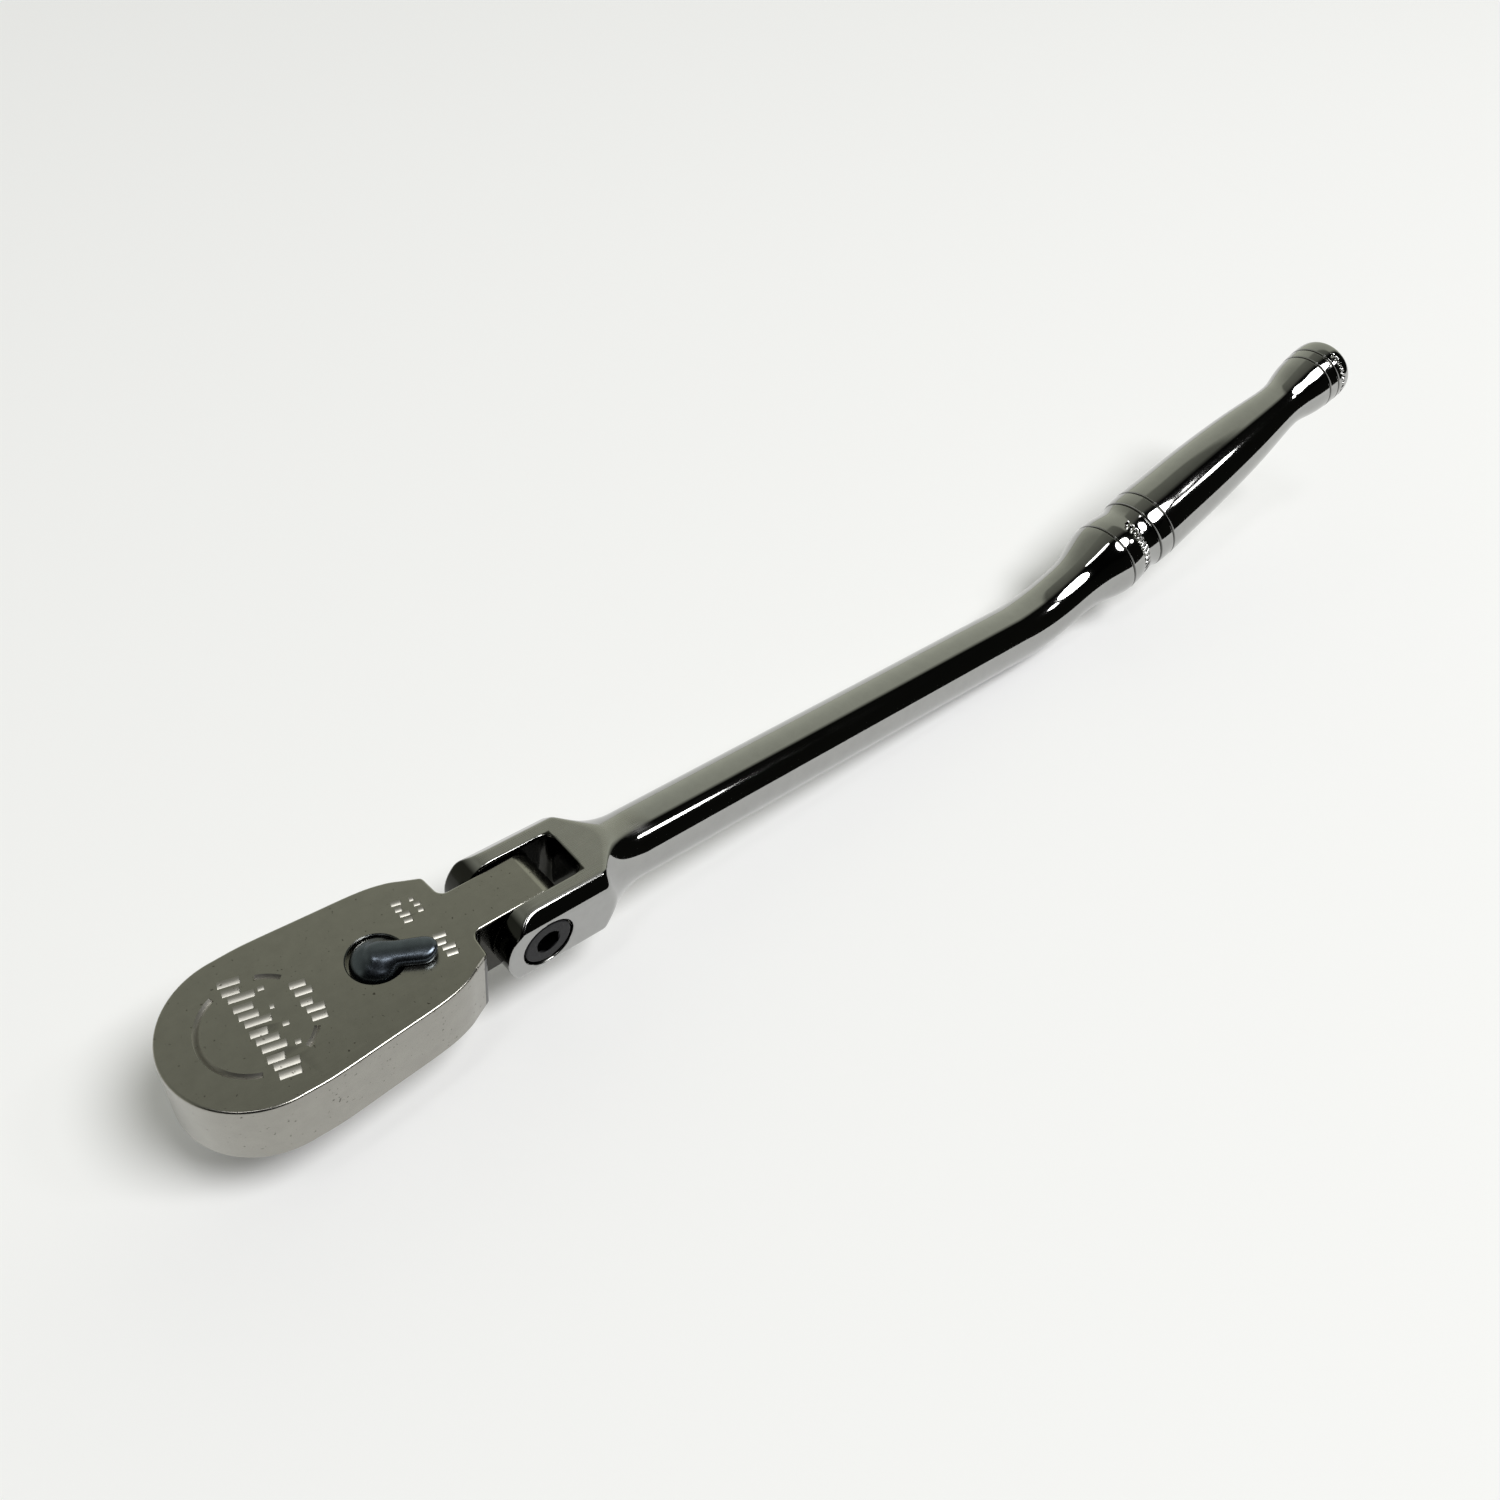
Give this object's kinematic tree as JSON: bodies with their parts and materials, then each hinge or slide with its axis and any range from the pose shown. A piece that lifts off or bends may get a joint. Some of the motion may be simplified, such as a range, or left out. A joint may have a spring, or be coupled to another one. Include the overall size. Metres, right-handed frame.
{
  "type": "ratchet wrench",
  "caption": "Flex-head ratchet wrench with a square drive, a reversing lever on the head's top and a bent round handle.",
  "frame": {"origin": "centre of the drive square's end face", "axes": "+X from the drive towards the handle, +Z from the drive square up to the reversing lever, +Y across the head"},
  "size_m": [0.2925, 0.0274, 0.0544],
  "materials": {
    "polished_chrome": "polished chrome plate",
    "satin_chrome": "satin chrome plate, brushed along the head",
    "black_oxide": "black oxide",
    "dark_lever": "dark smooth cast steel",
    "ground_steel": "ground and hardened",
    "spring_steel": "spring temper",
    "seal_rubber": "nitrile seal"
  },
  "bodies": {
    "handle": {"handle_bar": "polished_chrome", "pivot_screw": "black_oxide", "friction_washer_near": "spring_steel", "friction_washer_far": "spring_steel"},
    "head": {"head_body": "satin_chrome", "gear_cover": "ground_steel", "cover_snap_ring": "spring_steel", "gear_thrust_washer": "spring_steel", "pawl_pin": "ground_steel"},
    "drive": {"drive_gear": "ground_steel", "drive_o_ring": "seal_rubber", "detent_spring": "spring_steel"},
    "detent": {"detent_ball": "ground_steel"},
    "lever": {"reversing_lever": "dark_lever", "lever_o_ring": "seal_rubber", "lever_snap_ring": "spring_steel", "plunger_spring": "spring_steel"},
    "plunger": {"pawl_plunger": "ground_steel"},
    "pawl": {"pawl": "ground_steel"}
  },
  "joints": [
    {"name": "head_flex", "type": "hinge", "parent": "handle", "child": "head", "pos_m": [0.0428, 0, 0.01775], "axis": [0, 1, 0], "range_deg": [-102, 106]},
    {"name": "drive_spin", "type": "hinge", "parent": "head", "child": "drive", "pos_m": [0, 0, 0], "axis": [0, 0, 1], "continuous": true},
    {"name": "detent_press", "type": "slide", "parent": "drive", "child": "detent", "axis": [1, 0, 0], "range_m": [0, 0.0009], "stiffness_N_per_m": 2500, "springref_m": -0.001, "deforming": ["detent_spring"]},
    {"name": "lever_turn", "type": "hinge", "parent": "head", "child": "lever", "pos_m": [0.0184, 0, 0], "axis": [0, 0, 1], "range_deg": [0, 57.2]},
    {"name": "pawl_rock", "type": "hinge", "parent": "head", "child": "pawl", "pos_m": [0.0122, 0, 0], "axis": [0, 0, 1], "range_deg": [-9.05, 0.05]},
    {"name": "plunger_press", "type": "slide", "parent": "lever", "child": "plunger", "axis": [0.878, -0.4787, 0], "range_m": [0, 0.0005], "stiffness_N_per_m": 1200, "springref_m": -0.001, "deforming": ["plunger_spring"]}
  ],
  "couplings": [
    {"joint": "pawl_rock", "follows": "lever_turn", "ratio": -0.15734}
  ]
}
